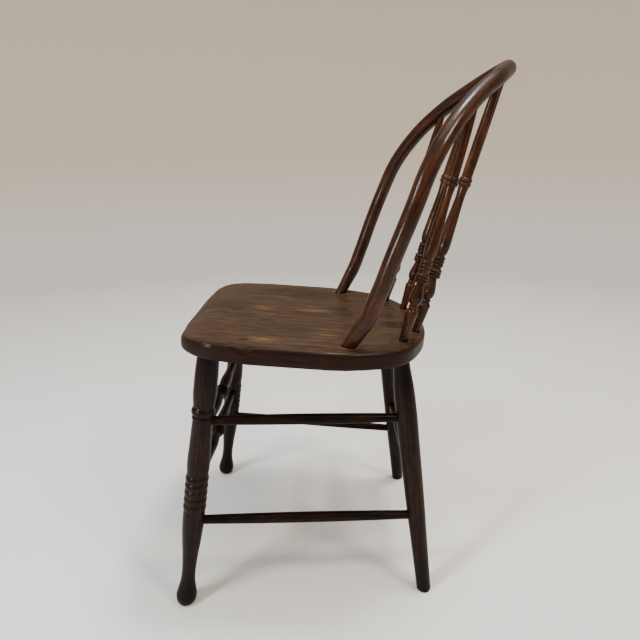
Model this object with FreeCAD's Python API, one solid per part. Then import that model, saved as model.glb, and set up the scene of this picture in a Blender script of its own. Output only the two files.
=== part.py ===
import FreeCAD, Part
import math
import os
from FreeCAD import Placement, Rotation, Vector

# A hoop-back kitchen chair: a plank seat carries four turned legs, tied by seven stretchers,
# and a bent bow with five turned spindles. Millimetres, +Z up. The sitter looks along -Y,
# so +X is the sitter's left. Until the last step, y = 0 is where the bow's feet meet the seat.

# Seat plank
SEAT_HEIGHT = 438.0          # top of the plank above the floor, at the bow's feet
SEAT_TILT = 4.6              # degrees that the plank falls towards the back
SEAT_THICK = 27.5
SEAT_FRONT = -255.0          # front edge, measured in the plank
SEAT_BACK = 137.0            # rearmost point of the round back edge
SEAT_HALF_WIDTH = 195.5      # at the widest place
# Half the plan, from the middle of the front edge to the middle of the back edge: x as a share
# of the half width, and the way back as a share of the depth.
SEAT_PLAN = [(0.0, 0.0), (0.53, 0.006), (0.78, 0.029), (0.925, 0.108), (0.985, 0.240),
             (1.0, 0.421), (0.972, 0.681), (0.825, 0.850), (0.475, 0.960), (0.0, 1.0)]
TOP_ARRIS = 7.0              # rounding of the worn upper edge
BOTTOM_ARRIS = 4.0
SADDLE_DEPTH = 6.5           # how far the seat is hollowed
SADDLE_HALF_WIDTH = 178.0
SADDLE_RAMP_BACK = 55.0      # the hollow deepens over this length from its rear line
SADDLE_RAMP_FRONT = 150.0    # and grows shallow again over this length towards the front
SADDLE_GRID = 36.0           # spacing of the points that carry the hollow's surface
SADDLE_CLEAR = 0.6           # the cutter's surface passes this far above wood it leaves alone
ROLL_LENGTH = 46.0           # the front edge rolls down over this length
ROLL_DROP = 10.0
GUTTER_RADIUS = 300.0        # line that parts the hollow from the spindle deck
GUTTER_BACK = 98.0
GUTTER_WIDTH = 7.0
GUTTER_DEPTH = 1.6

# Bow, by its centre line
BOW_FOOT_INSET = 33.5        # each foot stands this far inside the seat's half width
BOW_SIDE_INSET = 12.5        # and the widest part of the bow this far
BOW_RISE = 387.0             # crown above the seat top at the bow's feet
BOW_SETBACK = 244.0          # crown behind the bow's feet
BOW_FOOT_D = 20.5
BOW_D = 24.6
BOW_TENON_D = 17.0
# Where the straight foot ends, then how the bow bends: x as a share of the half width,
# setback and rise as shares of theirs. The last point is the crown.
BOW_BEND = [(0.940, 0.088, 0.098), (0.980, 0.168, 0.220), (0.998, 0.243, 0.355),
            (1.000, 0.330, 0.500), (0.930, 0.420, 0.639), (0.773, 0.556, 0.772),
            (0.566, 0.719, 0.877), (0.310, 0.900, 0.960), (0.0, 1.0, 1.0)]

# Spindles, from the outer ones to the middle. Their feet stand on an arc in the plank; x of
# each foot is a share of the bow foot's, and x of each top a share of the bow's half width.
SPINDLE_FEET = [0.728, 0.42, 0.0]
SPINDLE_TOPS = [0.563, 0.317, 0.0]
SPINDLE_ARC_RADIUS = 194.0
SPINDLE_ARC_INSET = 11.5     # the arc's rearmost point, in from the seat's back edge
SPINDLE_FOOT_D = 13.0
SPINDLE_TOP_D = 11.0
SPINDLE_TENON = 9.5
SPINDLE_COLLAR = 4.0         # plain length just above the seat
SPINDLE_INTO_BOW = 4.0       # how far the top reaches beyond the bow's centre line
SPINDLE_RING_D = 20.0

# Legs. An inset says where the axis meets the underside of the seat, in from its side and its
# front or back; a splay says how far out of that place the axis meets the floor.
FRONT_LEG_INSET = (37.0, 50.0)
FRONT_LEG_SPLAY = (28.5, 62.7)
REAR_LEG_INSET = (87.5, 53.0)
REAR_LEG_SPLAY = (53.5, 46.0)
LEG_TENON_D = 22.0
LEG_TENON = 15.0
LEG_RING_D = 36.0
LEG_RINGS = 5

# Stretchers: heights from the floor, or drops below the underside of the seat
SIDE_LOWER_FRONT = 153.0
SIDE_LOWER_REAR = 135.0
SIDE_UPPER_FRONT_DROP = 105.0
SIDE_UPPER_REAR_DROP = 102.0
FRONT_LOWER = 214.0
FRONT_UPPER_DROP = 135.0
REAR_HEIGHT = 200.0
STRETCHER_END_D = 14.0
STRETCHER_MID_D = 17.0
STRETCHER_STRAIGHT = 26.0    # plain length at each end, tenon included
STRETCHER_PAST_AXIS = 4.0    # how far a tenon reaches beyond the leg's axis
STRETCHER_BORE = 25.0        # length of a leg's cutter, from the tenon's end outwards
FRONT_SWELL_D = 20.0
FRONT_RING_D = 27.0
FRONT_RING_PITCH = 9.0

# Joints
FIT = 0.05                   # clearance round each tenon, on the radius
WEDGE_LENGTH = 17.0
WEDGE_THIN = 1.6
WEDGE_THICK = 4.4

# Blanks and cutters that other surfaces trim
OVERRUN = 15.0               # how far they run on past such a surface
ROOM = 500.0                 # half the side of a block larger than the chair

UP = Vector(0, 0, 1)
FALL = math.tan(math.radians(SEAT_TILT))
BOW_FOOT_X = SEAT_HALF_WIDTH - BOW_FOOT_INSET
BOW_HALF_WIDTH = SEAT_HALF_WIDTH - BOW_SIDE_INSET


def seat_top(y):
    """Height of the plank's flat top at a distance y behind the bow's feet."""
    return SEAT_HEIGHT - FALL * y


def seat_under(y):
    """Height of the plank's underside, straight below the same place."""
    return seat_top(y) - SEAT_THICK / math.cos(math.radians(SEAT_TILT))


def mirror(shape):
    """The same piece on the other side of the chair."""
    return shape.mirror(Vector(0, 0, 0), Vector(1, 0, 0))


def arc_from(a, way, b, flat):
    """The arc that leaves a in the direction way and ends at b, or a line where it is flat."""
    chord = b - a
    aside = way - chord * (way.dot(chord) / chord.dot(chord))
    if aside.Length < flat:
        return Part.makeLine(a, b)
    turn = math.acos(min(way.dot(chord) / chord.Length, 1.0))
    crest = (a + b) * 0.5 + aside.normalize() * (chord.Length / 2 * math.tan(turn / 2))
    return Part.Arc(a, crest, b).toShape()


def biarc(a, way_a, b, way_b, flat):
    """Two arcs that run smoothly from a to b, with a direction given at each end."""
    chord = b - a
    ways = way_a + way_b
    spread = 2 * (1 - way_a.dot(way_b))
    along = chord.dot(ways)
    if spread < 1e-9:
        reach = chord.dot(chord) / (4 * chord.dot(way_b))
    else:
        reach = (math.sqrt(along * along + spread * chord.dot(chord)) - along) / spread
    knee = (a + b + (way_a - way_b) * reach) * 0.5
    return [arc_from(a, way_a, knee, flat), arc_from(b, way_b * -1, knee, flat)]


def smooth(points, first_way=None, last_way=None, flat=1e-5):
    """A chain of tangent arcs through the points."""
    ways = []
    for i in range(1, len(points) - 1):
        before = points[i] - points[i - 1]
        after = points[i + 1] - points[i]
        way = before * (after.Length / before.Length) + after * (before.Length / after.Length)
        ways.append(way.normalize())
    if first_way is None:
        chord = (points[1] - points[0]).normalize()
        first_way = chord * (2 * chord.dot(ways[0])) - ways[0]
    if last_way is None:
        chord = (points[-1] - points[-2]).normalize()
        last_way = chord * (2 * chord.dot(ways[-1])) - ways[-1]
    ways = [first_way] + ways + [last_way]
    edges = []
    for i in range(len(points) - 1):
        edges += biarc(points[i], ways[i], points[i + 1], ways[i + 1], flat)
    return edges


def turned(strokes):
    """A piece off the lathe, standing on the z axis.

    The half outline is a list of strokes of (station, diameter) pairs. A stroke of one pair is a
    straight cut to it, one of two pairs is an arc through the first to the second, and a longer
    one is a smooth curve through them all.
    """
    start = strokes[0][0]
    here = Vector(start[1] / 2, 0, start[0])
    edges = [Part.makeLine(Vector(0, 0, start[0]), here)]
    for stroke in strokes[1:]:
        points = [Vector(diameter / 2, 0, station) for station, diameter in stroke]
        if len(points) == 1:
            edges.append(Part.makeLine(here, points[0]))
        elif len(points) == 2:
            edges.append(Part.Arc(here, points[0], points[1]).toShape())
        else:
            edges += smooth([here] + points, flat=0.008)
        here = points[-1]
    edges.append(Part.makeLine(here, Vector(0, 0, here.z)))
    edges.append(Part.makeLine(Vector(0, 0, here.z), Vector(0, 0, start[0])))
    wire = Part.Wire(Part.__sortEdges__(edges))
    return Part.Face(wire).revolve(Vector(0, 0, 0), UP, 360)


def stretched(strokes, drawn_length, length, drawn_diameter, diameter):
    """Strokes drawn for one length and thickness, fitted to another."""
    longer = length / drawn_length
    thicker = diameter / drawn_diameter
    return [[(station * longer, wide * thicker) for station, wide in stroke] for stroke in strokes]


def rings(first, count, pitch, groove, crest):
    """Strokes for a row of rounded rings that starts at the station first."""
    strokes = []
    for i in range(count):
        low = first + i * pitch
        strokes.append([(low + pitch / 2, crest), (low + pitch, groove)])
    return strokes


def stand(shape, foot, towards):
    """Set a piece from the z axis onto the line from foot to towards."""
    moved = shape.copy()
    moved.Placement = Placement(foot, Rotation(UP, towards - foot)).multiply(moved.Placement)
    return moved


def rod(a, b, diameter):
    """A plain round bar from a to b."""
    return Part.makeCylinder(diameter / 2, (b - a).Length, a, b - a)


def seat_outline():
    """Plan of the plank: nearly straight front, gently curved sides and a round back."""
    depth = SEAT_BACK - SEAT_FRONT
    side = [Vector(x * SEAT_HALF_WIDTH, SEAT_FRONT + y * depth, 0) for x, y in SEAT_PLAN]
    left = Part.Wire(smooth(side, Vector(1, 0, 0), Vector(-1, 0, 0)))
    return Part.Wire(Part.__sortEdges__(left.Edges + mirror(left).Edges))


def saddle_drop(x, y):
    """How deep the worn hollow lies below the flat top; less than nothing clears the wood."""
    behind_centre = y - (GUTTER_BACK - GUTTER_RADIUS)
    inside = GUTTER_RADIUS - math.hypot(x, behind_centre)
    rear = 1 - (1 - min(max(inside / SADDLE_RAMP_BACK, 0.0), 1.0)) ** 2
    across = max(1 - (abs(x) / SADDLE_HALF_WIDTH) ** 3, 0.0)
    forward = min(max((y - SEAT_FRONT) / SADDLE_RAMP_FRONT, 0.25), 1.0)
    roll = max((SEAT_FRONT + ROLL_LENGTH - y) / ROLL_LENGTH, 0.0) ** 2
    return SADDLE_DEPTH * rear * across * forward + ROLL_DROP * roll - SADDLE_CLEAR


def saddle_tool():
    """The waste above the hollow: a smooth surface through the drops, carried upwards."""
    step = SADDLE_GRID
    columns = math.ceil(SEAT_HALF_WIDTH / step)
    rows = range(math.floor(SEAT_FRONT / step) - 1, math.ceil(SEAT_BACK / step) + 1)
    grid = [[Vector(i * step, j * step, -saddle_drop(i * step, j * step)) for j in rows]
            for i in range(-columns, columns + 1)]
    surface = Part.BSplineSurface()
    surface.interpolate(grid)
    return surface.toShape().extrude(UP * ROOM)


def gutter_tool():
    """The shallow groove along the front of the spindle deck."""
    radius = ((GUTTER_WIDTH / 2) ** 2 + GUTTER_DEPTH ** 2) / (2 * GUTTER_DEPTH)
    centre = Vector(0, GUTTER_BACK - GUTTER_RADIUS, radius - GUTTER_DEPTH)
    ring = Part.makeTorus(GUTTER_RADIUS, radius, centre, UP, -180, 180, 54)
    ring.rotate(centre, UP, 63)
    ends = []
    for angle in (63, 117):
        way = Vector(math.cos(math.radians(angle)), math.sin(math.radians(angle)), 0)
        ends.append(Part.makeSphere(radius, centre + way * GUTTER_RADIUS))
    return ring.fuse(ends)


def make_plank():
    """The seat before its sockets are bored."""
    slab = Part.Face(seat_outline()).extrude(Vector(0, 0, -SEAT_THICK))
    top = [e for e in slab.Edges if e.BoundBox.ZMin > -0.1]
    slab = slab.makeFillet(TOP_ARRIS, top)
    bottom = [e for e in slab.Edges if e.BoundBox.ZMax < 0.1 - SEAT_THICK]
    slab = slab.makeFillet(BOTTOM_ARRIS, bottom)
    slab = slab.cut(saddle_tool()).cut(gutter_tool())
    slab.rotate(Vector(0, 0, 0), Vector(1, 0, 0), -SEAT_TILT)
    slab.translate(Vector(0, 0, SEAT_HEIGHT))
    return slab


def half_space(above_seat):
    """A block above the plank's flat top, or below its underside."""
    block = Part.makeBox(2 * ROOM, 2 * ROOM, ROOM, Vector(-ROOM, -ROOM, 0 if above_seat else -ROOM))
    block.rotate(Vector(0, 0, 0), Vector(1, 0, 0), -SEAT_TILT)
    block.translate(Vector(0, 0, seat_top(0) if above_seat else seat_under(0)))
    return block


ABOVE_SEAT = half_space(True)
BELOW_SEAT = half_space(False)


def leg_ends(edge, inset, splay):
    """Where a leg's axis meets the floor and the underside; edge is the seat's front or back."""
    out = math.copysign(1, edge)
    x = SEAT_HALF_WIDTH - inset[0]
    y = edge - out * inset[1]
    return Vector(x + splay[0], y + out * splay[1], 0), Vector(x, y, seat_under(y))


def on_leg(ends, height):
    """The point of a leg's axis at a height above the floor."""
    low, high = ends
    return low + (high - low) * (height / high.z)


def make_leg(ends, strokes):
    """A turned leg: sawn level at the floor, shouldered under the seat, with a round tenon."""
    low, high = ends
    along = (high - low).normalize()
    body = stand(turned(strokes), low, high)
    body = body.common(Part.makeBox(2 * ROOM, 2 * ROOM, 2 * ROOM, Vector(-ROOM, -ROOM, 0)))
    body = body.common(BELOW_SEAT)
    tenon = rod(high - along * OVERRUN, high + along * LEG_TENON, LEG_TENON_D)
    return body.fuse(tenon).removeSplitter()


def front_leg_strokes(length):
    """Ball foot, slim ankle, swelling, ringed band, long vase, one ring and a plain top."""
    strokes = [[(-6, 18.6)],
               [(1, 19.0)],
               [(5, 28.0), (14, 32.8), (28, 29.0), (42, 23.8), (58, 22.0), (84, 24.0), (121, 30.4),
                (145, 33.6), (172.5, 33.8)],
               [(174.5, 33.0)]]
    strokes += rings(174.5, LEG_RINGS, 61.0 / LEG_RINGS, 33.0, 36.0)
    strokes += [[(237, 33.0)],
                [(250, 34.8), (289, 32.8), (328, 30.2)],
                [(329, 32.0), (332, 32.0)],
                [(334, 30.0)],
                [(341, 35.8), (348, 30.6)],
                [(350, 31.6)],
                [(363, 34.4), (387, 35.2), (419, 33.4), (445, 29.6)]]
    return stretched(strokes, 431.0, length, 36.0, LEG_RING_D)


def rear_leg_strokes(length):
    """A plain leg that swells slowly to its upper third and draws in below the seat."""
    strokes = [[(-6, 18.6)],
               [(0.6, 19.6)],
               [(2.6, 23.4)],
               [(88, 27.0), (160, 30.6), (253, 33.0), (316, 34.0), (353, 32.2), (388, 26.6),
                (422, 23.4)]]
    return stretched(strokes, 408.0, length, 36.0, LEG_RING_D)


def stretcher_axis(a, b):
    """The bar's axis, carried past both leg axes by the depth of the tenons."""
    way = (b - a).normalize()
    return a - way * STRETCHER_PAST_AXIS, b + way * STRETCHER_PAST_AXIS


def plain_stretcher(a, b):
    """A round bar that swells gently towards its middle."""
    low, high = stretcher_axis(a, b)
    length = (high - low).Length
    strokes = [[(0, STRETCHER_END_D)], [(STRETCHER_STRAIGHT, STRETCHER_END_D)],
               [(length / 2, STRETCHER_MID_D), (length - STRETCHER_STRAIGHT, STRETCHER_END_D)],
               [(length, STRETCHER_END_D)]]
    return stand(turned(strokes), low, high)


def ringed_stretcher(a, b):
    """A turned bar: two long swellings that meet at three rings in the middle."""
    low, high = stretcher_axis(a, b)
    length = (high - low).Length
    middle = length / 2
    band = 1.5 * FRONT_RING_PITCH
    groove = FRONT_SWELL_D * 0.9
    neck = FRONT_SWELL_D * 0.8
    shoulder = FRONT_SWELL_D * 0.85
    strokes = [[(0, STRETCHER_END_D)], [(STRETCHER_STRAIGHT, STRETCHER_END_D)],
               [(middle * 0.52, shoulder), (middle * 0.745, FRONT_SWELL_D),
                (middle - 1.4 * band, neck)],
               [(middle - band, groove)]]
    for i, crest in enumerate((FRONT_RING_D * 0.85, FRONT_RING_D, FRONT_RING_D * 0.85)):
        strokes += rings(middle - band + i * FRONT_RING_PITCH, 1, FRONT_RING_PITCH, groove, crest)
    strokes += [[(middle + 1.4 * band, neck)],
                [(middle * 1.255, FRONT_SWELL_D), (middle * 1.48, shoulder),
                 (length - STRETCHER_STRAIGHT, STRETCHER_END_D)],
                [(length, STRETCHER_END_D)]]
    return stand(turned(strokes), low, high)


def bow_points():
    """The left half of the bow's centre line, from the seat to the crown."""
    points = [Vector(BOW_FOOT_X, 0, SEAT_HEIGHT)]
    for x, back, rise in BOW_BEND:
        points.append(Vector(x * BOW_HALF_WIDTH, back * BOW_SETBACK, SEAT_HEIGHT + rise * BOW_RISE))
    return points


BOW_POINTS = bow_points()
BOW_WAY = (BOW_POINTS[1] - BOW_POINTS[0]).normalize()
BOW_ARCS = smooth(BOW_POINTS[1:], BOW_WAY, Vector(-1, 0, 0))


def bow_point(x):
    """The point of the bow's centre line at x, in its upper half."""
    for arc in reversed(BOW_ARCS):
        low, high = arc.FirstParameter, arc.LastParameter
        if arc.valueAt(low).x > arc.valueAt(high).x:
            low, high = high, low
        if x < arc.valueAt(high).x:
            break
    for _ in range(40):
        middle = (low + high) / 2
        if arc.valueAt(middle).x < x:
            low = middle
        else:
            high = middle
    return arc.valueAt(low)


def bow_foot():
    """A bow tenon's axis: from the seat's top straight on through the plank."""
    return BOW_POINTS[0], BOW_WAY * -1


def bow_tenon(diameter):
    """The round end of the bow inside the plank, trimmed flush with the underside."""
    start, down = bow_foot()
    pin = rod(start - down * OVERRUN, start + down * 2 * (SEAT_THICK + OVERRUN), diameter)
    return pin.cut(BELOW_SEAT)


def wedge_blade(extra):
    """The tapered blade driven into a bow tenon from below, or its kerf with some extra room."""
    start, down = bow_foot()
    fall = seat_under(0) - SEAT_HEIGHT
    reach = fall / (down.z + FALL * down.y)
    tip = start + down * reach
    thin = WEDGE_THIN / 2 + extra
    thick = WEDGE_THICK / 2 + extra
    spread = (thick - thin) / WEDGE_LENGTH
    low = -OVERRUN
    high = WEDGE_LENGTH + extra
    outline = [Vector(0, thick - spread * low, low), Vector(0, thin, high),
               Vector(0, -thin, high), Vector(0, spread * low - thick, low)]
    blade = Part.Face(Part.makePolygon(outline + outline[:1])).extrude(Vector(2 * OVERRUN, 0, 0))
    blade.translate(Vector(-OVERRUN, 0, 0))
    return stand(blade, tip, start)


def bent_rod(arc):
    """A stretch of the bow: its round section swept along one arc of the centre line."""
    start = arc.valueAt(arc.FirstParameter)
    way = arc.tangentAt(arc.FirstParameter)
    disc = Part.Face(Part.Wire(Part.makeCircle(BOW_D / 2, start, way)))
    bend = arc.Curve
    axis = bend.Axis
    if axis.cross(start - bend.Center).dot(way) < 0:
        axis = axis * -1
    return disc.revolve(bend.Center, axis, math.degrees(arc.Length / bend.Radius))


def make_bow():
    """The bent bow: a round rod that thins towards its feet, with a tenon at each end."""
    start, down = bow_foot()
    taper = (BOW_POINTS[1] - start).Length
    thin = BOW_FOOT_D - (BOW_D - BOW_FOOT_D) * OVERRUN / taper
    foot = Part.makeCone(thin / 2, BOW_D / 2, taper + OVERRUN, start + down * OVERRUN, BOW_WAY)
    foot = foot.common(ABOVE_SEAT)
    tenon = bow_tenon(BOW_TENON_D).cut(wedge_blade(FIT))
    half = foot.fuse([tenon] + [bent_rod(arc) for arc in BOW_ARCS])
    return half.fuse(mirror(half)).removeSplitter()


def make_wedges():
    """The two wedges that spread the bow's tenons, flush with the underside of the seat."""
    wedge = wedge_blade(0).common(bow_tenon(BOW_TENON_D))
    return [wedge, mirror(wedge)]


def spindle_ends(index):
    """Where a spindle's axis meets the seat's top and the bow's centre line."""
    x = SPINDLE_FEET[index] * BOW_FOOT_X
    y = SEAT_BACK - SPINDLE_ARC_INSET - SPINDLE_ARC_RADIUS + math.sqrt(SPINDLE_ARC_RADIUS ** 2 - x ** 2)
    return Vector(x, y, seat_top(y)), bow_point(SPINDLE_TOPS[index] * BOW_HALF_WIDTH)


def spindle_pattern():
    """The vases and ring bands, which line up on all spindles: drawn for the shortest, an outer one."""
    low, high = spindle_ends(0)
    strokes = [[(20, 14.8), (38, 17.4), (48, 17.6), (51, 13.0)],
               [(54, 15.0), (57, 12.2)],
               [(62, 18.2), (68, 20.0), (77, 17.6), (86, 13.6), (91, 11.6)],
               [(92.5, 16.0)]]
    strokes += rings(92.5, 3, 4.6, 16.6, 20.0)
    strokes += [[(108.5, 14.0), (110.5, 14.8)]]
    strokes += rings(110.5, 3, 5.6, 15.0, 17.8)
    strokes += [[(129, 12.4)],
                [(133, 16.0), (141, 18.6), (158, 18.2), (185, 16.2), (206, 14.2), (222, 13.6),
                 (236, 15.6)],
                [(237.5, 16.4)]]
    strokes += rings(237.5, 2, 6.2, 16.6, 20.0)
    strokes += [[(251, 16.0)]]
    return stretched(strokes, 361.0, (high - low).Length, 20.0, SPINDLE_RING_D)


def make_spindle(low, high):
    """Plain foot, small vase, two bands of rings, long vase, one band and a tapering neck."""
    length = (high - low).Length
    strokes = [[(-SPINDLE_TENON, SPINDLE_FOOT_D)], [(SPINDLE_COLLAR, SPINDLE_FOOT_D)]]
    strokes += spindle_pattern()
    neck_start = strokes[-1][-1][0]
    neck = length - neck_start
    strokes += [[(neck_start + 0.22 * neck, 0.78 * SPINDLE_RING_D),
                 (neck_start + 0.56 * neck, 0.68 * SPINDLE_RING_D),
                 (neck_start + 0.84 * neck, SPINDLE_TOP_D)],
                [(length + SPINDLE_INTO_BOW, SPINDLE_TOP_D)]]
    return stand(turned(strokes), low, high)


def spindle_sockets(low, high):
    """The two bores that hold a spindle: one in the seat, one in the bow."""
    way = (high - low).normalize()
    foot = rod(low - way * SPINDLE_TENON, low + way * OVERRUN, SPINDLE_FOOT_D + 2 * FIT)
    top = rod(high - way * 2 * OVERRUN, high + way * SPINDLE_INTO_BOW, SPINDLE_TOP_D + 2 * FIT)
    return foot, top


def stretcher_sockets(a, b):
    """The bores in the two legs, and the room inside them for the bar."""
    low, high = stretcher_axis(a, b)
    way = (high - low).normalize()
    return [rod(low, low + way * STRETCHER_BORE, STRETCHER_END_D + 2 * FIT),
            rod(high - way * STRETCHER_BORE, high, STRETCHER_END_D + 2 * FIT)]


def build():
    """Every piece of the chair by name."""
    front = leg_ends(SEAT_FRONT, FRONT_LEG_INSET, FRONT_LEG_SPLAY)
    rear = leg_ends(SEAT_BACK, REAR_LEG_INSET, REAR_LEG_SPLAY)
    pieces = {}

    front_leg = make_leg(front, front_leg_strokes((front[1] - front[0]).Length))
    rear_leg = make_leg(rear, rear_leg_strokes((rear[1] - rear[0]).Length))

    bars = {"side_stretcher_lower": (on_leg(front, SIDE_LOWER_FRONT), on_leg(rear, SIDE_LOWER_REAR)),
            "side_stretcher_upper": (on_leg(front, front[1].z - SIDE_UPPER_FRONT_DROP),
                                     on_leg(rear, rear[1].z - SIDE_UPPER_REAR_DROP))}
    for name, (a, b) in bars.items():
        bar = plain_stretcher(a, b)
        pieces[name + "_left"] = bar
        pieces[name + "_right"] = mirror(bar)
        bores = stretcher_sockets(a, b)
        front_leg = front_leg.cut(bores[0])
        rear_leg = rear_leg.cut(bores[1])

    cross_bars = [("front_stretcher_lower", front, FRONT_LOWER, ringed_stretcher),
                  ("front_stretcher_upper", front, front[1].z - FRONT_UPPER_DROP, ringed_stretcher),
                  ("rear_stretcher", rear, REAR_HEIGHT, plain_stretcher)]
    for name, ends, height, make in cross_bars:
        a = on_leg(ends, height)
        b = Vector(-a.x, a.y, a.z)
        pieces[name] = make(a, b)
        bore = stretcher_sockets(a, b)[0]
        if ends is front:
            front_leg = front_leg.cut(bore)
        else:
            rear_leg = rear_leg.cut(bore)

    pieces["front_leg_left"] = front_leg
    pieces["front_leg_right"] = mirror(front_leg)
    pieces["rear_leg_left"] = rear_leg
    pieces["rear_leg_right"] = mirror(rear_leg)

    bow = make_bow()
    seat = make_plank()
    for low, high in (front, rear):
        way = (high - low).normalize()
        bore = rod(high - way * OVERRUN, high + way * LEG_TENON, LEG_TENON_D + 2 * FIT)
        seat = seat.cut([bore, mirror(bore)])
    bore = bow_tenon(BOW_TENON_D + 2 * FIT)
    seat = seat.cut([bore, mirror(bore)])

    for index in range(3):
        low, high = spindle_ends(index)
        spindle = make_spindle(low, high)
        foot, top = spindle_sockets(low, high)
        if index == 2:
            pieces["spindle_3"] = spindle
            seat = seat.cut(foot)
            bow = bow.cut(top)
            continue
        pieces["spindle_%d" % (5 - index)] = spindle
        pieces["spindle_%d" % (index + 1)] = mirror(spindle)
        seat = seat.cut([foot, mirror(foot)])
        bow = bow.cut([top, mirror(top)])

    pieces["seat"] = seat
    pieces["bow"] = bow
    pieces["bow_wedges"] = Part.makeCompound(make_wedges())
    return pieces


PIECES = build()

# The origin goes to the floor below the middle of the whole chair.
BOX = Part.makeCompound(list(PIECES.values())).optimalBoundingBox(False, False)
SHIFT = Vector(0, -(BOX.YMin + BOX.YMax) / 2, 0)

os.makedirs("parts", exist_ok=True)
for name in sorted(PIECES):
    piece = PIECES[name].copy()
    piece.translate(SHIFT)
    piece.exportStep("parts/" + name + ".step")
    print(name, "solids", len(piece.Solids), "valid", piece.isValid(), "volume %.0f" % piece.Volume)
print("moved by", SHIFT)
print("chair %.1f x %.1f x %.1f mm" % (BOX.XLength, BOX.YLength, BOX.ZLength))
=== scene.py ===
# %% [markdown]
# A hoop-back kitchen chair: a plank seat, a bent bow, turned spindles, legs and stretchers, all
# of dark stained wood. The solids come ready made, so this lesson is about looks: a camera that
# stands where the photographer stood, soft light, and wood painted by nodes alone, with grain,
# stain, wear and polish.

import math

import bpy
from mathutils import Matrix, Vector


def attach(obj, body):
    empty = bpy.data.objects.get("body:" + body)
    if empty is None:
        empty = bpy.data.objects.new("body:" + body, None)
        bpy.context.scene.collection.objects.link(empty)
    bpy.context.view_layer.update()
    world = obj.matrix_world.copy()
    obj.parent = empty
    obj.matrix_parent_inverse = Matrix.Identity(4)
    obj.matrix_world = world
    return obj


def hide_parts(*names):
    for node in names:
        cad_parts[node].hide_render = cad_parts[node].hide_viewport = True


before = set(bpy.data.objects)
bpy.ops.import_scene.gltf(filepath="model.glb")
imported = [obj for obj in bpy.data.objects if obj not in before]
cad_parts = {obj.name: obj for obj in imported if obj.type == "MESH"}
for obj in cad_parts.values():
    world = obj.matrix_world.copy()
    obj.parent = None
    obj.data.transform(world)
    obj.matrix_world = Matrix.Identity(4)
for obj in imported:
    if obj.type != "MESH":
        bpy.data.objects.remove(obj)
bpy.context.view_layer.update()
print("pieces:", len(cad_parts))

# %% [markdown]
# The camera comes first, because every look is judged through it. Its place and turn were found
# by fitting the chair's own symmetry to the picture. The lens is short, as on a phone, so the
# near side of the chair looks larger than the far side.

# %% Camera
CAMERA_AT = Vector((0.8685, -0.0238, 0.6975))
CAMERA_HEADING = 90.38               # degrees to the left of looking along +Y
CAMERA_DOWN = 17.24                  # degrees below level
CAMERA_ROLL = -0.58
PICTURE_WIDTH = 640
FOCAL_PIXELS = 518.9

camera = bpy.data.objects.new("camera", bpy.data.cameras.new("camera"))
camera.matrix_world = (Matrix.Translation(CAMERA_AT)
                       @ Matrix.Rotation(math.radians(CAMERA_HEADING), 4, "Z")
                       @ Matrix.Rotation(math.radians(90.0 - CAMERA_DOWN), 4, "X")
                       @ Matrix.Rotation(math.radians(CAMERA_ROLL), 4, "Z"))
camera.data.sensor_width = 36.0
camera.data.lens = camera.data.sensor_width * FOCAL_PIXELS / PICTURE_WIDTH
bpy.context.scene.collection.objects.link(camera)
bpy.context.scene.camera = camera
print("lens: %.1f mm" % camera.data.lens)

# %% [markdown]
# The floor is a pale sheet that curves up into a wall all round, like the paper sweep of a photo
# studio. Two planes would meet in a dark corner, so one outline is spun about the upright axis
# instead, and the background stays plain from every side.

# %% Floor and backdrop
SWEEP_FLAT = 2.6                     # metres of flat floor before it starts to rise
SWEEP_CURVE = 1.2                    # radius of the rounded corner
SWEEP_TOP = 3.6
SWEEP_SIDES = 96
SWEEP_STEPS = 12                     # runs in the rounded corner
SWEEP_HOLE = 0.001                   # the faces leave this radius open in the middle


def sweep_outline():
    """(distance from the middle, height) of the floor, its rounded corner and the wall."""
    points = [(SWEEP_HOLE, 0.0), (SWEEP_FLAT, 0.0)]
    for step in range(1, SWEEP_STEPS + 1):
        angle = math.radians(90.0 * step / SWEEP_STEPS)
        points.append((SWEEP_FLAT + SWEEP_CURVE * math.sin(angle),
                       SWEEP_CURVE * (1.0 - math.cos(angle))))
    points.append((SWEEP_FLAT + SWEEP_CURVE, SWEEP_TOP))
    return points


def spin(name, outline, sides):
    """A mesh made by turning an outline of (radius, height) about the upright axis."""
    verts = []
    for radius, height in outline:
        for side in range(sides):
            angle = 2.0 * math.pi * side / sides
            verts.append((radius * math.cos(angle), radius * math.sin(angle), height))
    faces = []
    for row in range(len(outline) - 1):
        for side in range(sides):
            after = (side + 1) % sides
            faces.append((row * sides + side, row * sides + after,
                          (row + 1) * sides + after, (row + 1) * sides + side))
    mesh = bpy.data.meshes.new(name)
    mesh.from_pydata(verts, [], faces)
    mesh.polygons.foreach_set("use_smooth", [True] * len(faces))
    piece = bpy.data.objects.new(name, mesh)
    bpy.context.scene.collection.objects.link(piece)
    return piece


sweep = spin("floor_sweep", sweep_outline(), SWEEP_SIDES)
print("sweep faces:", len(sweep.data.polygons))

# %% [markdown]
# A material is a net of small nodes. These short helpers keep the nets readable: each takes the
# outputs of earlier nodes, adds one node to the same net, and gives back its output.

# %% Helpers that join nodes
MIX_INPUTS = (0, 6, 7)               # the mixing node's amount and its two colours
MIX_OUTPUT = 2


def join(socket, value):
    """Feed an input with another node's output, or with a plain value."""
    if isinstance(value, bpy.types.NodeSocket):
        socket.id_data.links.new(value, socket)
    elif socket.type == "RGBA" and len(value) == 3:
        socket.default_value = tuple(value) + (1.0,)
    else:
        socket.default_value = value


def add(tree, kind, **inputs):
    """A new node, with its inputs by name."""
    made = tree.nodes.new(kind)
    for name, value in inputs.items():
        join(made.inputs[name.replace("_", " ")], value)
    return made


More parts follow.
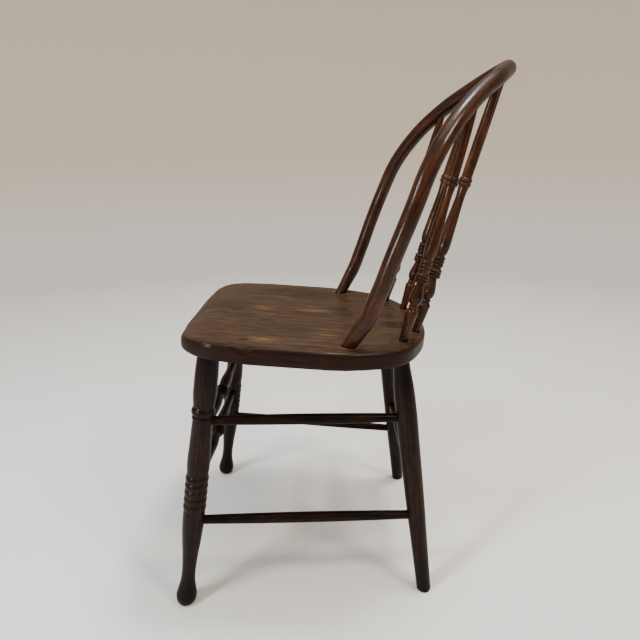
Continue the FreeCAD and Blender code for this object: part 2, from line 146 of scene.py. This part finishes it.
def ramp(value, *stops):
    """Turn a value into a colour through stops of (position, colour)."""
    made = add(value.id_data, "ShaderNodeValToRGB", Fac=value)
    bar = made.color_ramp.elements
    while len(bar) < len(stops):
        bar.new(1.0)
    for element, (position, colour) in zip(bar, stops):
        element.position = position
        element.color = tuple(colour) + (1.0,)
    return made.outputs["Color"]


def blend(way, amount, first, second):
    """Lay one colour over another; way is one of Blender's mixing modes."""
    values = (amount, first, second)
    tree = next(v for v in values if isinstance(v, bpy.types.NodeSocket)).id_data
    made = tree.nodes.new("ShaderNodeMix")
    made.data_type = "RGBA"
    made.blend_type = way
    for number, value in zip(MIX_INPUTS, values):
        join(made.inputs[number], value)
    return made.outputs[MIX_OUTPUT]


def spread(value, low, high, to_low=0.0, to_high=1.0):
    """Move a value from one range to another, and stop it at the ends."""
    made = value.id_data.nodes.new("ShaderNodeMapRange")
    for name, number in (("Value", value), ("From Min", low), ("From Max", high),
                         ("To Min", to_low), ("To Max", to_high)):
        join(made.inputs[name], number)
    return made.outputs["Result"]


def maths(way, first, second=0.0):
    """One sum on two values."""
    tree = (first if isinstance(first, bpy.types.NodeSocket) else second).id_data
    made = tree.nodes.new("ShaderNodeMath")
    made.operation = way
    join(made.inputs[0], first)
    join(made.inputs[1], second)
    return made.outputs[0]


print("helpers: join, add, ramp, blend, spread, maths")

# %% [markdown]
# The paper is white on the floor and warms to cream up the wall. The colour follows height, so
# no picture is needed, and the wall keeps its colour from every side.

# %% Paper
PAPER_WHITE = (0.73, 0.72, 0.70)
PAPER_CREAM = (0.64, 0.56, 0.45)
CREAM_ABOVE = 0.7                    # metres up the wall
PAPER_ROUGHNESS = 0.85

paper = bpy.data.materials.new("paper")
paper.use_nodes = True
tree = paper.node_tree
place = tree.nodes.new("ShaderNodeTexCoord").outputs["Object"]
height = add(tree, "ShaderNodeSeparateXYZ", Vector=place).outputs["Z"]
shader = tree.nodes["Principled BSDF"]
warmth = spread(height, 0.0, CREAM_ABOVE)
join(shader.inputs["Base Color"], blend("MIX", warmth, PAPER_WHITE, PAPER_CREAM))
shader.inputs["Roughness"].default_value = PAPER_ROUGHNESS
sweep.data.materials.append(paper)
print("paper:", len(tree.nodes), "nodes")

# %% [markdown]
# Soft lamps give the room's light. Two cool ones stand like a window on the left: the high one
# throws the legs' shadows, the low one draws the glints on the bow and the rings. A warm one on
# the right lights the other edge of each bar. One under the ceiling puts the broad shine on the
# bow's shoulder, and a wide one overhead fills the rest. Together they are just strong enough
# that a colour renders about as it is written.

# %% Lamps


def soft_lamp(name, place, aim, width, watts, colour):
    """A square area lamp that points at aim."""
    lamp = bpy.data.lights.new(name, "AREA")
    lamp.size = width
    lamp.energy = watts
    lamp.color = colour
    holder = bpy.data.objects.new(name, lamp)
    way = Vector(aim) - Vector(place)
    turn = way.to_track_quat("-Z", "Y").to_matrix().to_4x4()
    holder.matrix_world = Matrix.Translation(place) @ turn
    bpy.context.scene.collection.objects.link(holder)


AIM = (0.0, 0.0, 0.4)                # all lamps point at the seat
COOL = (0.90, 0.95, 1.0)
PALE_COOL = (0.93, 0.96, 1.0)
WARM = (1.0, 0.84, 0.66)
PLAIN = (1.0, 0.98, 0.95)
SKY_COLOUR = (0.96, 0.97, 1.0, 1.0)
SKY_STRENGTH = 0.5

soft_lamp("window", (1.2, -1.65, 2.2), AIM, width=0.45, watts=42.0, colour=COOL)
soft_lamp("low_window", (1.5, -1.55, 0.85), AIM, width=0.28, watts=24.0, colour=PALE_COOL)
soft_lamp("room_lamp", (1.05, 1.3, 2.2), AIM, width=0.45, watts=30.0, colour=WARM)
soft_lamp("ceiling_lamp", (-0.1, 0.45, 2.7), AIM, width=0.36, watts=44.0, colour=PLAIN)
soft_lamp("overhead", (-0.3, 0.3, 3.3), AIM, width=2.2, watts=44.0, colour=PLAIN)

world = bpy.data.worlds.new("room")
world.use_nodes = True
sky = world.node_tree.nodes["Background"]
sky.inputs["Color"].default_value = SKY_COLOUR
sky.inputs["Strength"].default_value = SKY_STRENGTH
bpy.context.scene.world = world
print("lamps:", len(bpy.data.lights))

# %% [markdown]
# Grain runs along each piece, so its noise needs a space whose z axis is that piece's length.
# Every turned piece has a flat end at each tip: the middle of the lowest corner points and the
# middle of the highest ones give its axis.

# %% The axis of each piece
TIP_DEPTH = 0.002                    # corner points this near an end belong to it


def axis_of(name, way):
    """The two tips of a solid, found as its mesh's least and greatest points along way."""
    points = [v.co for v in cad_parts[name].data.vertices]
    reach = [p.dot(way) for p in points]
    tips = []
    for limit in (min(reach), max(reach)):
        near = [p for p, r in zip(points, reach) if abs(r - limit) < TIP_DEPTH]
        tips.append(sum(near, Vector()) / len(near))
    return tips


def way_of(name):
    """Roughly how a piece lies: seat and side stretchers along Y, the others along X or Z."""
    if name == "seat" or name.startswith("side_stretcher"):
        return Vector((0, 1, 0))
    if "stretcher" in name:
        return Vector((1, 0, 0))
    return Vector((0, 0, 1))


TIPS = {name: axis_of(name, way_of(name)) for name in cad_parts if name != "bow"}
for name in ("spindle_3", "front_leg_left"):
    print(name, "is %.0f mm long" % (1000 * (TIPS[name][1] - TIPS[name][0]).length))

# %% [markdown]
# Noise that is stretched far along z becomes fibres. Three sizes make wood: pores less than a
# millimetre wide, figure some millimetres wide, and slow blotches where old stain has gathered.

# %% Grain
SHADE_RAYS = 6                        # looks that each point takes for nearby wood


def piece_space(material, name):
    """A point's place in the piece's own space, in metres, with z along its grain."""
    tree = material.node_tree
    point = tree.nodes.new("ShaderNodeTexCoord").outputs["Object"]
    low, high = TIPS[name]
    made = add(tree, "ShaderNodeMapping", Vector=point)
    made.vector_type = "TEXTURE"
    made.inputs["Location"].default_value = low
    made.inputs["Rotation"].default_value = (high - low).to_track_quat("Z", "X").to_euler()
    return made.outputs["Vector"]


def streaks(space, width, length, seed, detail=3.0):
    """Noise whose grains are so many metres wide and long."""
    made = add(space.id_data, "ShaderNodeMapping", Vector=space,
               Location=(seed, seed * 0.7, seed * 1.3),
               Scale=(1.0 / width, 1.0 / width, 1.0 / length))
    return add(space.id_data, "ShaderNodeTexNoise", Vector=made.outputs["Vector"], Scale=1.0,
               Detail=detail, Roughness=0.6).outputs["Fac"]


def relief(height, depth, strength, under=None):
    """Bumps so many metres deep."""
    made = add(height.id_data, "ShaderNodeBump", Height=height, Strength=strength, Distance=depth)
    if under is not None:
        join(made.inputs["Normal"], under)
    return made.outputs["Normal"]


# Painted shade: the colour is darkened where other wood is near, in grooves and where pieces
# meet.
def painted_groove_shade(tree, reach, depth):
    """Painted shade: white in the open, darker where other wood is within reach."""
    made = add(tree, "ShaderNodeAmbientOcclusion", Distance=reach)
    made.samples = SHADE_RAYS
    return spread(made.outputs["AO"], 0.35, 0.95, 1.0 - depth, 1.0)


def grey(value):
    """A value used as a colour."""
    made = add(value.id_data, "ShaderNodeCombineColor", Red=value, Green=value, Blue=value)
    return made.outputs["Color"]


print("grain, relief and dirt are ready")

# %% [markdown]
# Every piece starts from the same stained wood. The stain was brushed on dark and has worn
# through in places, so the warm wood shows in patches. The varnish over it has its own faint
# waves, which break up the highlights; a perfectly smooth coat would look like plastic.

# %% Stained and varnished wood
WHITE = (1.0, 1.0, 1.0)
PORE_SHADE = (0.25, 0.20, 0.18)
GRAIN_DEPTH = 0.0004                 # metres
WAVE_DEPTH = 0.0006
SHEEN = 0.04                         # how much the bare wood itself mirrors


def stained(space, dark, brown, warm, seed, patches=0.5):
    """Colour of stained wood, its fibres and its blotches."""
    fibres = streaks(space, width=0.0007, length=0.011, seed=seed, detail=2.0)
    figure = streaks(space, width=0.0032, length=0.050, seed=seed + 3.0)
    blotches = streaks(space, width=0.018, length=0.050, seed=seed + 8.0, detail=4.0)
    wood = blend("MIX", spread(figure, 0.40, 0.70), brown, warm)
    wood = blend("MIX", spread(blotches, patches + 0.18, patches - 0.18), wood, dark)
    pores = ramp(fibres, (0.38, PORE_SHADE), (0.54, WHITE))
    wood = blend("MULTIPLY", 0.8, wood, pores)
    return wood, fibres, blotches


def varnished(material, colour, roughness, fibres, waves, coat, coat_roughness):
    """Join colour, sheen, relief and coat to the material's shader."""
    shader = material.node_tree.nodes["Principled BSDF"]
    join(shader.inputs["Base Color"], colour)
    shader.inputs["Specular IOR Level"].default_value = SHEEN
    join(shader.inputs["Roughness"], roughness)
    grain = relief(fibres, GRAIN_DEPTH, strength=0.35)
    join(shader.inputs["Normal"], relief(waves, WAVE_DEPTH, strength=0.25, under=grain))
    join(shader.inputs["Coat Normal"], relief(waves, WAVE_DEPTH, strength=0.18))
    join(shader.inputs["Coat Weight"], coat)
    shader.inputs["Coat Roughness"].default_value = coat_roughness


def new_wood(name):
    """An empty material with nodes."""
    material = bpy.data.materials.new(name)
    material.use_nodes = True
    return material


def dress(piece, material):
    """Give every material slot of a piece the same finish."""
    slots = piece.data.materials
    if not slots:
        slots.append(material)
    for number in range(len(slots)):
        slots[number] = material


print("stain and varnish are ready")

# %% [markdown]
# Spindles are a warm red-brown; painted shade makes the cuts between their rings nearly black.

# %% Spindles
SPINDLE_DARK = (0.012, 0.0045, 0.002)
SPINDLE_BROWN = (0.036, 0.011, 0.004)
SPINDLE_WARM = (0.120, 0.038, 0.011)


def spindle_wood(name, seed):
    """Warm polished wood, with painted shade in its grooves."""
    material = new_wood("wood_" + name)
    space = piece_space(material, name)
    colour, fibres, blotches = stained(space, SPINDLE_DARK, SPINDLE_BROWN, SPINDLE_WARM,
                                       seed, patches=0.46)
    # Painted shade in the cuts between the rings and at the joints.
    painted_shade = painted_groove_shade(material.node_tree, reach=0.005, depth=0.8)
    colour = blend("MULTIPLY", 1.0, colour, grey(painted_shade))
    waves = streaks(space, width=0.004, length=0.006, seed=seed + 5.0)
    varnished(material, colour, spread(blotches, 0.3, 0.7, 0.30, 0.45), fibres, waves,
              coat=0.24, coat_roughness=0.18)
    return material


for number in range(1, 6):
    name = "spindle_%d" % number
    dress(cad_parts[name], spindle_wood(name, 11.0 * number))
print("spindles dressed")

# %% [markdown]
# Legs are the darkest turned pieces. They are darker towards the top and the foot, and warmest
# along the middle.

# %% Legs
LEG_DARK = (0.004, 0.0024, 0.0018)
LEG_BROWN = (0.009, 0.0040, 0.0022)
LEG_WARM = (0.044, 0.015, 0.005)
FOOT_DARK_SPAN = (0.02, 0.12)              # metres from the foot: where the darkening starts to fade, and where it is gone
TOP_DARK_SPAN = (0.03, 0.12)               # the same from the leg's top


def leg_wood(name, seed):
    """Dark wood, warmer along the middle."""
    material = new_wood("wood_" + name)
    tree = material.node_tree
    space = piece_space(material, name)
    colour, fibres, blotches = stained(space, LEG_DARK, LEG_BROWN, LEG_WARM, seed)
    along = add(tree, "ShaderNodeSeparateXYZ", Vector=space).outputs["Z"]
    length = (TIPS[name][1] - TIPS[name][0]).length
    # Darker towards the foot and the top: at the very ends the colour is 0.35 of its full value.
    foot = spread(along, FOOT_DARK_SPAN[0], FOOT_DARK_SPAN[1])
    top = spread(along, length - TOP_DARK_SPAN[0], length - TOP_DARK_SPAN[1])
    middle = maths("MULTIPLY", foot, top)
    colour = blend("MULTIPLY", 1.0, colour, grey(spread(middle, 0.0, 1.0, 0.35, 1.0)))
    # Painted shade in the cuts between the rings and where the stretchers meet the leg.
    painted_shade = painted_groove_shade(tree, reach=0.006, depth=0.8)
    colour = blend("MULTIPLY", 1.0, colour, grey(painted_shade))
    waves = streaks(space, width=0.004, length=0.006, seed=seed + 5.0)
    varnished(material, colour, spread(blotches, 0.3, 0.7, 0.36, 0.52), fibres, waves,
              coat=0.15, coat_roughness=0.17)
    return material


for number, name in enumerate(sorted(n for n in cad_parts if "_leg_" in n)):
    dress(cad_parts[name], leg_wood(name, 7.0 * number + 2.0))
print("legs dressed")

# %% [markdown]
# Stretchers are near black, with faint warm patches where the stain has worn.

# %% Stretchers
STRETCHER_DARK = (0.0025, 0.0015, 0.0012)
STRETCHER_BROWN = (0.008, 0.0036, 0.0022)
STRETCHER_WARM = (0.030, 0.011, 0.005)


def stretcher_wood(name, seed):
    """Near-black wood with long streaks."""
    material = new_wood("wood_" + name)
    space = piece_space(material, name)
    colour, fibres, blotches = stained(space, STRETCHER_DARK, STRETCHER_BROWN, STRETCHER_WARM,
                                       seed)
    # Painted shade in the stretcher's cuts and where it meets the legs.
    painted_shade = painted_groove_shade(material.node_tree, reach=0.006, depth=0.8)
    colour = blend("MULTIPLY", 1.0, colour, grey(painted_shade))
    waves = streaks(space, width=0.004, length=0.008, seed=seed + 5.0)
    varnished(material, colour, spread(blotches, 0.3, 0.7, 0.36, 0.52), fibres, waves,
              coat=0.06, coat_roughness=0.2)
    return material


for number, name in enumerate(sorted(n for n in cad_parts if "stretcher" in n)):
    dress(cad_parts[name], stretcher_wood(name, 5.0 * number + 1.0))
print("stretchers dressed")

# %% [markdown]
# The seat is one wide board. Sitting has worn tan patches through its stain, cleaning has bared
# a thin rim round the foot of each upright, and there is a knot near one corner. All of these
# are soft spots: each is one at its centre and falls to nothing at an egg-shaped skin.

# %% Spots on the seat
WORN_SPOTS = [((-0.030, -0.125, 0.449), (0.020, 0.034, 0.03)),   # centre, half sizes
              ((-0.035, -0.045, 0.443), (0.024, 0.044, 0.03)),
              ((0.110, -0.020, 0.444), (0.026, 0.040, 0.03)),
              ((0.150, -0.110, 0.449), (0.020, 0.030, 0.03))]
KNOT_AT = (0.161, -0.140, 0.450)
KNOT_SIZE = (0.006, 0.010, 0.01)
BOW_FOOT = (0.1620, 0.0128, 0.438)
SPINDLE_RIM = 0.012                  # radius of the bare rim round a spindle's foot
BOW_RIM = 0.017
RIM_HEIGHT = 0.03
RIMS = [(tuple(TIPS["spindle_%d" % number][0]), SPINDLE_RIM) for number in range(1, 6)]
RIMS += [((side * BOW_FOOT[0], BOW_FOOT[1], BOW_FOOT[2]), BOW_RIM) for side in (-1, 1)]


def spot(point, centre, size):
    """One at a centre, falling to nothing at an ellipsoid of the given half sizes."""
    tree = point.id_data
    made = add(tree, "ShaderNodeMapping", Vector=point)
    made.vector_type = "TEXTURE"
    made.inputs["Location"].default_value = centre
    made.inputs["Scale"].default_value = size
    far = tree.nodes.new("ShaderNodeVectorMath")
    far.operation = "LENGTH"
    join(far.inputs[0], made.outputs["Vector"])
    return spread(far.outputs["Value"], 1.0, 0.2)


print("spots on the seat:", len(WORN_SPOTS), "worn,", len(RIMS), "rims, 1 knot")

# %% [markdown]
# Top and edge of the board are two woods in one material, and the way a surface faces says
# which. The top is a satin grey-brown with its grain from front to back; the edge kept the dark
# red-brown. The tan shows most where the figure is light, so each patch breaks up into streaks,
# as worn stain does.

# %% Seat wood
SEAT_DARK = (0.014, 0.007, 0.004)
SEAT_BROWN = (0.026, 0.014, 0.008)
SEAT_LIGHT = (0.074, 0.042, 0.024)
SEAT_TAN = (0.210, 0.105, 0.040)
SEAT_EDGE = (0.015, 0.0040, 0.0020)
SEAT_PORE_SHADE = (0.22, 0.18, 0.16)
RING_SHADE = (0.30, 0.24, 0.21)


def seat_top(point, figure, drift, rings):
    """The upper side: figure, dark drifts, tan patches and ring lines."""
    wood = blend("MIX", spread(figure, 0.32, 0.68), SEAT_BROWN, SEAT_LIGHT)
    wood = blend("MIX", spread(drift, 0.52, 0.34, 0.0, 0.6), wood, SEAT_DARK)
    for centre, size in WORN_SPOTS:
        worn = maths("MULTIPLY", spot(point, centre, size), spread(figure, 0.46, 0.58))
        wood = blend("MIX", maths("MULTIPLY", worn, 0.6), wood, SEAT_TAN)
    lines = ramp(rings, (0.43, WHITE), (0.49, RING_SHADE), (0.52, WHITE))
    return blend("MULTIPLY", 0.7, wood, lines)


def with_rims(colour, point, figure, up):
    """Add the tan rims round the uprights' feet, on the upper side only."""
    for centre, radius in RIMS:
        rim = spot(point, centre, (radius, radius, RIM_HEIGHT))
        rim = maths("MULTIPLY", spread(rim, 0.0, 0.3), spread(figure, 0.42, 0.58))
        rim = maths("MULTIPLY", rim, spread(up, 0.93, 0.98))
        colour = blend("MIX", maths("MULTIPLY", rim, 0.7), colour, SEAT_TAN)
    return colour


def seat_wood():
    """The worn board: top and edge, pores, the knot, painted shade and rims."""
    material = new_wood("wood_seat")
    tree = material.node_tree
    point = tree.nodes.new("ShaderNodeTexCoord").outputs["Object"]
    space = piece_space(material, "seat")
    pores = streaks(space, width=0.0009, length=0.075, seed=4.0, detail=2.0)
    rings = streaks(space, width=0.0040, length=0.180, seed=27.0, detail=0.0)
    figure = streaks(space, width=0.0034, length=0.180, seed=9.0, detail=1.5)
    drift = streaks(space, width=0.040, length=0.120, seed=14.0, detail=4.0)
    facing = tree.nodes.new("ShaderNodeNewGeometry").outputs["Normal"]
    up = add(tree, "ShaderNodeSeparateXYZ", Vector=facing).outputs["Z"]
    edge = blend("MIX", spread(drift, 0.35, 0.62), SEAT_DARK, SEAT_EDGE)
    top = seat_top(point, figure, drift, rings)
    colour = blend("MIX", spread(up, 0.50, 0.94), edge, top)
    shade = ramp(pores, (0.38, SEAT_PORE_SHADE), (0.54, WHITE))
    colour = blend("MULTIPLY", 0.7, colour, shade)
    knot = spot(point, KNOT_AT, KNOT_SIZE)
    colour = blend("MIX", spread(knot, 0.0, 0.5), colour, SEAT_DARK)
    # Painted shade round the feet of the uprights and in the seat's hollows.
    painted_shade = painted_groove_shade(tree, reach=0.008, depth=0.7)
    colour = blend("MULTIPLY", 1.0, colour, grey(painted_shade))
    colour = with_rims(colour, point, figure, up)
    waves = streaks(space, width=0.010, length=0.030, seed=20.0)
    varnished(material, colour, spread(drift, 0.3, 0.7, 0.42, 0.52), pores, waves,
              coat=spread(up, 0.60, 0.95, 0.12, 0.08), coat_roughness=0.20)
    return material


board_wood = seat_wood()
print("seat wood:", len(board_wood.node_tree.nodes), "nodes")

# %% [markdown]
# Use has made the board's front edge rounder than the solid's, and a knock has left a nick near
# one corner. So the board gets a mesh of its own. The solid is cut into small cells of one
# size, the corner points near the front are smoothed, most at the very edge, and the nick is
# pressed in. This mesh then stands for the solid.

# %% Worn board
WORN_CELL = 0.0022                   # size of the mesh cells that the wear is cut in
WEAR_STARTS = -0.15                  # y where the front edge begins to be rounder
WEAR_FULL = -0.235
WEAR_PASSES = 22
NICK_AT = Vector((0.193, -0.138, 0.449))
NICK_SIZE = Vector((0.010, 0.017, 0.010))
NICK_DEPTH = 0.0022


def made_real(piece):
    """Turn a piece's modifiers into its mesh."""
    bpy.context.view_layer.update()
    seen = piece.evaluated_get(bpy.context.evaluated_depsgraph_get())
    mesh = bpy.data.meshes.new_from_object(seen)
    piece.modifiers.clear()
    piece.data = mesh


board = bpy.data.objects.new("seat_worn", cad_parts["seat"].data.copy())
bpy.context.scene.collection.objects.link(board)
cells = board.modifiers.new("cells", "REMESH")
cells.mode = "VOXEL"
cells.voxel_size = WORN_CELL
cells.use_smooth_shade = True
made_real(board)
worn = board.vertex_groups.new(name="worn")
for vertex in board.data.vertices:
    wear = (WEAR_STARTS - vertex.co.y) / (WEAR_STARTS - WEAR_FULL)
    worn.add([vertex.index], min(max(wear, 0.0), 1.0), "REPLACE")
rub = board.modifiers.new("rub", "SMOOTH")
rub.vertex_group = "worn"
rub.iterations = WEAR_PASSES
made_real(board)
for vertex in board.data.vertices:
    off = vertex.co - NICK_AT
    reach = Vector([o / size for o, size in zip(off, NICK_SIZE)]).length
    if reach < 1.0:
        vertex.co -= vertex.normal * NICK_DEPTH * (1.0 - reach * reach)
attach(board, "root")
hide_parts("seat")
dress(board, board_wood)
print("seat: %d faces" % len(board.data.polygons))

# %% [markdown]
# The bow was steamed and bent from a straight rod, so its grain follows the bend. A straight
# mapping can't do that. A copy of the solid's mesh therefore carries one extra fact for each
# corner point: how far along the bend it lies, and how far off the centre line. The copy then
# stands for the solid.

# %% Bow
BOW_BEND = [BOW_FOOT, (0.1720, 0.0343, 0.476), (0.1793, 0.0538, 0.523),
            (0.1826, 0.0721, 0.575), (0.1830, 0.0934, 0.632), (0.1702, 0.1153, 0.685),
            (0.1415, 0.1485, 0.737), (0.1036, 0.1883, 0.777), (0.0567, 0.2324, 0.810),
            (0.0, 0.2568, 0.825)]
BOW_ACROSS = Vector((0, -0.85, 0.53))   # square to the plane that the bow leans back in
BEND_STEPS = 12                      # short runs between two points of the bend


def bend_line(points):
    """A smooth line through the points, as many short runs."""
    line = []
    for i in range(len(points) - 1):
        before, a = points[max(i - 1, 0)], points[i]
        b, after = points[i + 1], points[min(i + 2, len(points) - 1)]
        for step in range(BEND_STEPS):
            t = step / BEND_STEPS
            first = (b - before) * t
            second = (2 * before - 5 * a + 4 * b - after) * t * t
            third = (3 * a - before - 3 * b + after) * t * t * t
            line.append(0.5 * (2 * a + first + second + third))
    return line + [points[-1]]


def along_bend(piece, line):
    """Store each corner point's place in the straightened rod as the attribute rod."""
    runs = [(a, (b - a).normalized(), (b - a).length) for a, b in zip(line, line[1:])]
    starts = [0.0]
    for run in runs:
        starts.append(starts[-1] + run[2])
    values = []
    for vertex in piece.data.vertices:
        best = None
        for (a, way, length), start in zip(runs, starts):
            reach = min(max((vertex.co - a).dot(way), 0.0), length)
            off = vertex.co - (a + way * reach)
            if best is None or off.length_squared < best[0]:
                side = way.cross(BOW_ACROSS).normalized()
                best = (off.length_squared, off.dot(side), off.dot(BOW_ACROSS), start + reach)
        values += best[1:]
    rod = piece.data.attributes.new("rod", "FLOAT_VECTOR", "POINT")
    rod.data.foreach_set("vector", values)
    return starts[-1]


bow = bpy.data.objects.new("bow_bent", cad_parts["bow"].data.copy())
bpy.context.scene.collection.objects.link(bow)
left_half = [Vector(p) for p in BOW_BEND]
right_half = [Vector((-p.x, p.y, p.z)) for p in reversed(left_half[:-1])]
rod_length = along_bend(bow, bend_line(left_half + right_half))
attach(bow, "root")
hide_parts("bow")
print("bow: %.0f mm along the bend" % (1000 * rod_length))

# %% [markdown]
# Hands polish the bow more than any other piece, so it has the strongest coat. Its red-brown is
# mottled, and the grain reads the stored fact instead of a straight axis.

# %% Bow wood
BOW_DARK = (0.012, 0.004, 0.002)
BOW_BROWN = (0.026, 0.007, 0.0025)
BOW_WARM = (0.096, 0.026, 0.007)


def bow_wood():
    """Glossy red-brown wood, mottled, with grain that follows the bend."""
    material = new_wood("wood_bow")
    tree = material.node_tree
    rod = tree.nodes.new("ShaderNodeAttribute")
    rod.attribute_name = "rod"
    space = rod.outputs["Vector"]
    colour, fibres, blotches = stained(space, BOW_DARK, BOW_BROWN, BOW_WARM,
                                       seed=31.0, patches=0.52)
    # Painted shade where the bow meets the spindles and the seat.
    painted_shade = painted_groove_shade(tree, reach=0.006, depth=0.7)
    colour = blend("MULTIPLY", 1.0, colour, grey(painted_shade))
    waves = streaks(space, width=0.004, length=0.008, seed=36.0)
    varnished(material, colour, spread(blotches, 0.3, 0.7, 0.30, 0.42), fibres, waves,
              coat=0.33, coat_roughness=0.22)
    return material


dress(bow, bow_wood())
print("bow dressed")

# %% [markdown]
# The wedges in the bow's ends show only from below, as bare end grain.

# %% Wedges
WEDGE_PALE = (0.23, 0.13, 0.065)
WEDGE_DARK = (0.09, 0.045, 0.022)
END_GRAIN_DEPTH = 0.0003

wedge_wood = new_wood("wood_wedges")
space = piece_space(wedge_wood, "bow_wedges")
fibres = streaks(space, width=0.0008, length=0.010, seed=3.0)
shader = wedge_wood.node_tree.nodes["Principled BSDF"]
join(shader.inputs["Base Color"], ramp(fibres, (0.35, WEDGE_DARK), (0.62, WEDGE_PALE)))
join(shader.inputs["Roughness"], spread(fibres, 0.3, 0.7, 0.75, 0.6))
join(shader.inputs["Normal"], relief(fibres, END_GRAIN_DEPTH, strength=0.4))
dress(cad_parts["bow_wedges"], wedge_wood)
print("wedges dressed")
